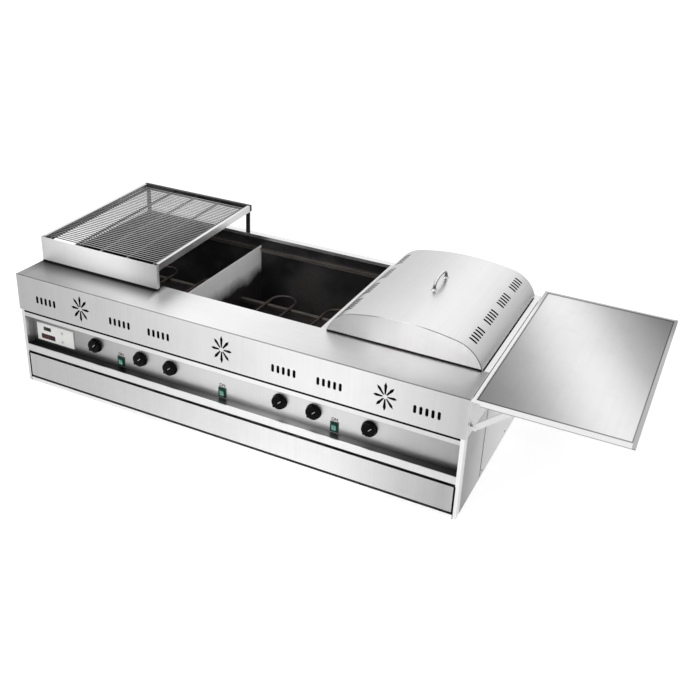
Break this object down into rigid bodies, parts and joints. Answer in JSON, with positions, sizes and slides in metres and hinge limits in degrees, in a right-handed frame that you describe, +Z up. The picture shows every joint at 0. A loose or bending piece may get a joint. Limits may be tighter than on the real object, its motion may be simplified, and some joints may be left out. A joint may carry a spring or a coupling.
{
  "type": "barbecue grill",
  "caption": "Long stainless electric barbecue grill with open skewer wells, a raised wire rack, a lift-off arched lid, a folding end shelf and a full-width drip drawer.",
  "frame": {"origin": "middle of the base, on the surface it stands on", "axes": "+X to the right as seen from the controls, -Y towards the user, +Z up"},
  "size_m": [1.9095, 0.745, 0.5075],
  "materials": {
    "stainless": "brushed",
    "black_enamel": "satin black, heat proof",
    "element_sheath": "dull grey sheath",
    "polished": "polished",
    "black_plastic": "glossy black",
    "regulator_case": "plain moulding",
    "green_lens": "translucent green",
    "white_plastic": "satin white",
    "dark_window": "smoked window",
    "button_plastic": "dark grey"
  },
  "bodies": {
    "cabinet": {"base_pan": "stainless", "left_side_panel": "stainless", "right_side_panel": "stainless", "right_side_cover": "stainless", "back_panel": "stainless", "upper_front_panel": "stainless", "front_deck": "stainless", "left_cowl_side": "stainless", "right_cowl_side": "stainless", "rear_top_rail": "stainless", "left_partition": "stainless", "right_partition": "stainless", "control_panel": "stainless", "control_header": "stainless", "drawer_rail": "stainless", "front_sill": "stainless", "left_front_post": "stainless", "right_front_post": "stainless", "drawer_runners": "stainless", "hinge_leaf": "stainless", "stay_brackets": "stainless", "skewer_rails": "stainless", "element_supports": "stainless", "firebox_floor": "black_enamel", "firebox_front_wall": "black_enamel", "firebox_back_wall": "black_enamel", "firebox_end_walls": "black_enamel", "heating_elements": "element_sheath", "hinge_pin": "polished", "switch_housings": "black_plastic", "cable_gland": "black_plastic", "regulators": "regulator_case", "controller_body": "white_plastic", "display_windows": "dark_window"},
    "drawer": {"drawer_floor": "stainless", "drawer_ends": "stainless", "drawer_sides": "stainless", "drawer_front": "stainless"},
    "lid": {"lid_shell": "stainless", "lid_front_plate": "stainless", "lid_back_plate": "stainless", "lid_handle": "polished"},
    "rack": {"rack_front_panel": "stainless", "rack_side_rails": "stainless", "rack_rear_frame": "black_enamel", "rack_grate": "stainless"},
    "shelf": {"shelf_top": "stainless"},
    "front_stay": {"front_stay": "stainless"},
    "rear_stay": {"rear_stay": "stainless"},
    "knob_1": {"knob_1": "black_plastic"},
    "knob_2": {"knob_2": "black_plastic"},
    "knob_3": {"knob_3": "black_plastic"},
    "knob_4": {"knob_4": "black_plastic"},
    "knob_5": {"knob_5": "black_plastic"},
    "knob_6": {"knob_6": "black_plastic"},
    "rocker_1": {"rocker_1": "green_lens"},
    "rocker_2": {"rocker_2": "green_lens"},
    "rocker_3": {"rocker_3": "green_lens"},
    "set_button_1": {"set_button_1": "button_plastic"},
    "set_button_2": {"set_button_2": "button_plastic"}
  },
  "joints": [
    {"name": "drawer_slide", "type": "slide", "parent": "cabinet", "child": "drawer", "axis": [0, -1, 0], "range_m": [0, 0.4]},
    {"name": "lid_lift", "type": "slide", "parent": "cabinet", "child": "lid", "axis": [0, 0, 1], "range_m": [0, 0.25]},
    {"name": "rack_lift", "type": "slide", "parent": "cabinet", "child": "rack", "axis": [0, 0, 1], "range_m": [0, 0.25]},
    {"name": "shelf_fold", "type": "hinge", "parent": "cabinet", "child": "shelf", "pos_m": [0.7585, 0, 0.3747], "axis": [0, 1, 0], "range_deg": [0, 66]},
    {"name": "front_stay_turn", "type": "hinge", "parent": "cabinet", "child": "front_stay", "pos_m": [0.761, -0.324, 0.28964], "axis": [0, 1, 0], "range_deg": [0, 99]},
    {"name": "rear_stay_turn", "type": "hinge", "parent": "cabinet", "child": "rear_stay", "pos_m": [0.761, 0.324, 0.28964], "axis": [0, 1, 0], "range_deg": [0, 99]},
    {"name": "knob_1_turn", "type": "hinge", "parent": "cabinet", "child": "knob_1", "pos_m": [-0.4795, -0.317, 0.188], "axis": [0, 1, 0], "range_deg": [0, 270]},
    {"name": "knob_2_turn", "type": "hinge", "parent": "cabinet", "child": "knob_2", "pos_m": [-0.306, -0.317, 0.188], "axis": [0, 1, 0], "range_deg": [0, 270]},
    {"name": "knob_3_turn", "type": "hinge", "parent": "cabinet", "child": "knob_3", "pos_m": [-0.196, -0.317, 0.188], "axis": [0, 1, 0], "range_deg": [0, 270]},
    {"name": "knob_4_turn", "type": "hinge", "parent": "cabinet", "child": "knob_4", "pos_m": [0.184, -0.317, 0.188], "axis": [0, 1, 0], "range_deg": [0, 270]},
    {"name": "knob_5_turn", "type": "hinge", "parent": "cabinet", "child": "knob_5", "pos_m": [0.294, -0.317, 0.188], "axis": [0, 1, 0], "range_deg": [0, 270]},
    {"name": "knob_6_turn", "type": "hinge", "parent": "cabinet", "child": "knob_6", "pos_m": [0.4675, -0.317, 0.188], "axis": [0, 1, 0], "range_deg": [0, 270]},
    {"name": "rocker_1_tilt", "type": "hinge", "parent": "cabinet", "child": "rocker_1", "pos_m": [-0.382, -0.317, 0.158], "axis": [1, 0, 0], "range_deg": [-16, 0]},
    {"name": "rocker_2_tilt", "type": "hinge", "parent": "cabinet", "child": "rocker_2", "pos_m": [-0.011, -0.317, 0.158], "axis": [1, 0, 0], "range_deg": [-16, 0]},
    {"name": "rocker_3_tilt", "type": "hinge", "parent": "cabinet", "child": "rocker_3", "pos_m": [0.36, -0.317, 0.158], "axis": [1, 0, 0], "range_deg": [-16, 0]},
    {"name": "set_button_1_press", "type": "slide", "parent": "cabinet", "child": "set_button_1", "axis": [0, 1, 0], "range_m": [0, 0.0015], "stiffness_N_per_m": 400},
    {"name": "set_button_2_press", "type": "slide", "parent": "cabinet", "child": "set_button_2", "axis": [0, 1, 0], "range_m": [0, 0.0015], "stiffness_N_per_m": 400}
  ],
  "couplings": [
    {"joint": "front_stay_turn", "follows": "shelf_fold", "ratio": 1.5},
    {"joint": "rear_stay_turn", "follows": "shelf_fold", "ratio": 1.5}
  ]
}
